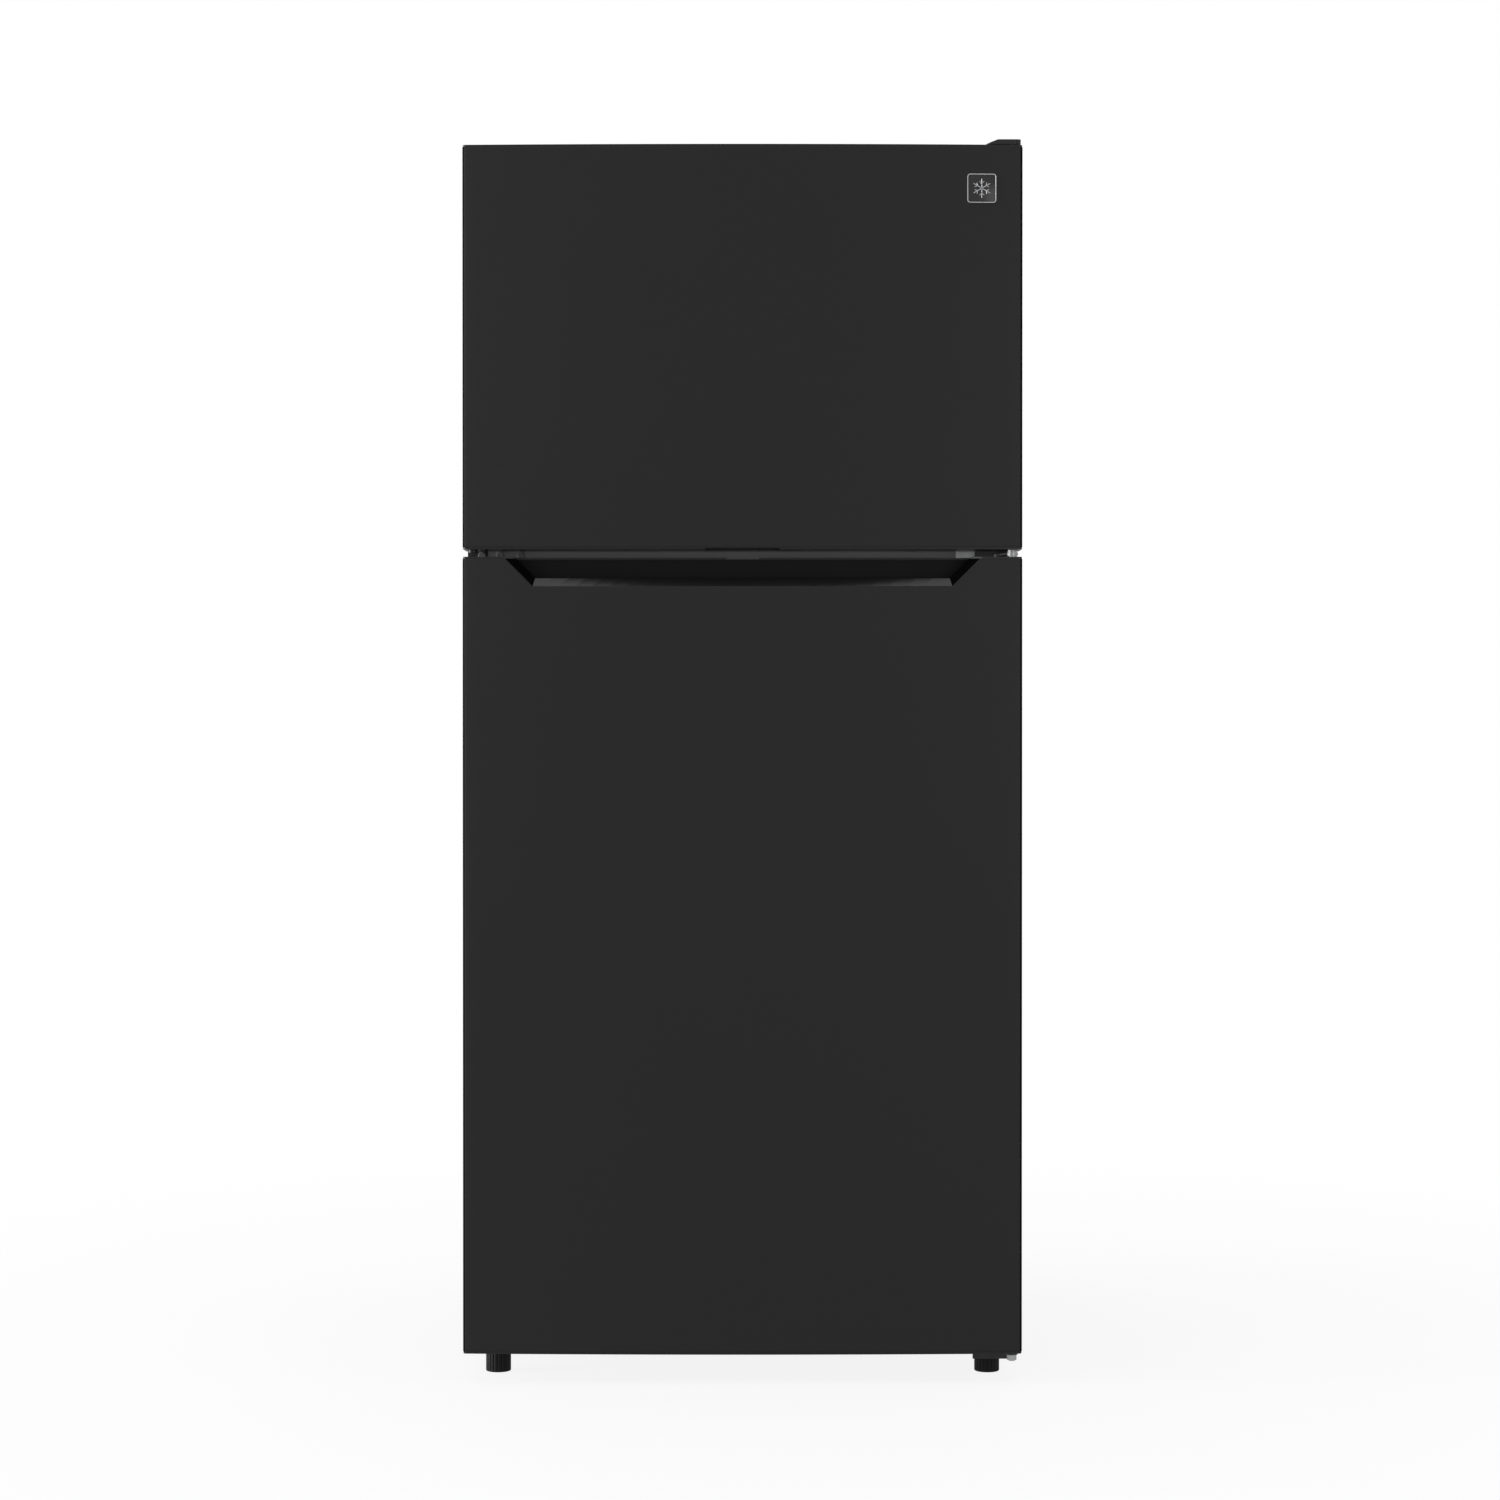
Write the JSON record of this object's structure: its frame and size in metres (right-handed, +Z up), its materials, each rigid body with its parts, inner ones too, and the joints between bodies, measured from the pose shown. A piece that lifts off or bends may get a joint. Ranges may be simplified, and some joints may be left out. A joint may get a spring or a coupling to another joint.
{
  "type": "top freezer refrigerator",
  "caption": "Free-standing refrigerator with the freezer above, hinged doors, pocket grip, shelves, drawers, door bins, cooling circuit, levelling legs and rear rollers",
  "frame": {"origin": "centre of the footprint, on the floor", "axes": "+Z up, doors face -Y, +X to the hinge side"},
  "size_m": [0.756, 0.776, 1.686],
  "materials": {
    "case_paint": "textured",
    "galvanised": "galvanised sheet",
    "dark_metal": "satin",
    "foam": "foam",
    "white_liner": "vacuum formed",
    "black_plastic": "fine grain",
    "zinc": "zinc plated",
    "compressor_paint": "gloss",
    "rubber": "matte",
    "copper": "drawn tube",
    "alu": "satin",
    "grey_plastic": "matte",
    "white_wire": "epoxy coat",
    "white_plastic": "satin",
    "lens": "frosted",
    "glass": "tempered",
    "clear_plastic": "clear",
    "blue_plastic": "satin",
    "door_paint": "gloss",
    "gasket_vinyl": "matte",
    "badge_metal": "satin"
  },
  "bodies": {
    "cabinet": {"outer_case": "case_paint", "back_panel": "galvanised", "machine_room_cover": "galvanised", "base_pan": "dark_metal", "foam_insulation": "foam", "freezer_liner": "white_liner", "fridge_liner": "white_liner", "mullion_rail": "case_paint", "spare_hinge_plugs": "black_plastic", "top_hinge": "zinc", "top_hinge_cover": "black_plastic", "middle_hinge": "zinc", "middle_hinge_cover": "black_plastic", "bottom_hinge": "dark_metal", "hinge_screws": "zinc", "roller_brackets": "zinc", "compressor": "compressor_paint", "compressor_grommets": "rubber", "condenser_coil": "copper", "condenser_fan_motor": "grey_plastic", "drain_pan": "black_plastic", "power_cord_gland": "black_plastic", "evaporator_coil": "alu", "evaporator_fan_motor": "grey_plastic", "evaporator_cover": "white_plastic", "freezer_shelf": "white_wire", "air_duct": "white_plastic", "control_box": "white_plastic", "light_lens": "lens", "shelf_frames": "white_plastic", "shelf_glass": "glass"},
    "condenser_fan_blade": {"condenser_fan_blade": "black_plastic"},
    "evaporator_fan_blade": {"evaporator_fan_blade": "white_plastic"},
    "thermostat_knob": {"thermostat_knob": "white_plastic"},
    "left_leveling_leg": {"left_leveling_leg": "black_plastic"},
    "right_leveling_leg": {"right_leveling_leg": "black_plastic"},
    "rear_roller_left": {"rear_roller_left": "black_plastic"},
    "rear_roller_right": {"rear_roller_right": "black_plastic"},
    "crisper_left": {"crisper_left": "clear_plastic"},
    "crisper_right": {"crisper_right": "clear_plastic"},
    "humidity_slide": {"humidity_slide": "blue_plastic"},
    "freezer_door": {"freezer_door_skin": "door_paint", "freezer_door_liner": "white_liner", "freezer_door_foam": "foam", "freezer_door_top_cap": "black_plastic", "freezer_door_bottom_cap": "black_plastic", "freezer_gasket": "gasket_vinyl", "freezer_door_bins": "clear_plastic", "freezer_door_bushings": "white_plastic", "badge": "badge_metal"},
    "fridge_door": {"fridge_door_skin": "door_paint", "fridge_door_liner": "white_liner", "fridge_door_foam": "foam", "fridge_door_top_cap": "black_plastic", "pocket_handle": "black_plastic", "fridge_door_bottom_cap": "black_plastic", "fridge_gasket": "gasket_vinyl", "fridge_door_bins": "clear_plastic", "fridge_door_bushings": "white_plastic"},
    "dairy_cover": {"dairy_cover": "clear_plastic"}
  },
  "joints": [
    {"name": "freezer_door_hinge", "type": "hinge", "parent": "cabinet", "child": "freezer_door", "pos_m": [0.366, -0.354, 1.128], "axis": [0, 0, 1], "range_deg": [0, 130]},
    {"name": "fridge_door_hinge", "type": "hinge", "parent": "cabinet", "child": "fridge_door", "pos_m": [0.366, -0.354, 0.041], "axis": [0, 0, 1], "range_deg": [0, 130]},
    {"name": "left_drawer_slide", "type": "slide", "parent": "cabinet", "child": "crisper_left", "axis": [0, -1, 0], "range_m": [0, 0.04]},
    {"name": "right_drawer_slide", "type": "slide", "parent": "cabinet", "child": "crisper_right", "axis": [0, -1, 0], "range_m": [0, 0.04]},
    {"name": "humidity_slide_travel", "type": "slide", "parent": "cabinet", "child": "humidity_slide", "axis": [1, 0, 0], "range_m": [0, 0.04]},
    {"name": "dairy_cover_hinge", "type": "hinge", "parent": "fridge_door", "child": "dairy_cover", "pos_m": [-0.1435, -0.222, 1.024], "axis": [1, 0, 0], "range_deg": [0, 90]},
    {"name": "thermostat_turn", "type": "hinge", "parent": "cabinet", "child": "thermostat_knob", "pos_m": [0.062, -0.058, 1.07], "axis": [0, 1, 0], "range_deg": [0, 270]},
    {"name": "left_leg_travel", "type": "slide", "parent": "cabinet", "child": "left_leveling_leg", "axis": [0, 0, -1], "range_m": [0, 0.012]},
    {"name": "right_leg_travel", "type": "slide", "parent": "cabinet", "child": "right_leveling_leg", "axis": [0, 0, -1], "range_m": [0, 0.012]},
    {"name": "left_roller_axle", "type": "hinge", "parent": "cabinet", "child": "rear_roller_left", "pos_m": [-0.3305, 0.314, 0.019], "axis": [1, 0, 0], "continuous": true},
    {"name": "right_roller_axle", "type": "hinge", "parent": "cabinet", "child": "rear_roller_right", "pos_m": [0.3305, 0.314, 0.019], "axis": [1, 0, 0], "continuous": true},
    {"name": "condenser_fan_axle", "type": "hinge", "parent": "cabinet", "child": "condenser_fan_blade", "pos_m": [0.03, 0.261, 0.1695], "axis": [1, 0, 0], "continuous": true},
    {"name": "evaporator_fan_axle", "type": "hinge", "parent": "cabinet", "child": "evaporator_fan_blade", "pos_m": [0, 0.283, 1.523], "axis": [0, 1, 0], "continuous": true}
  ]
}
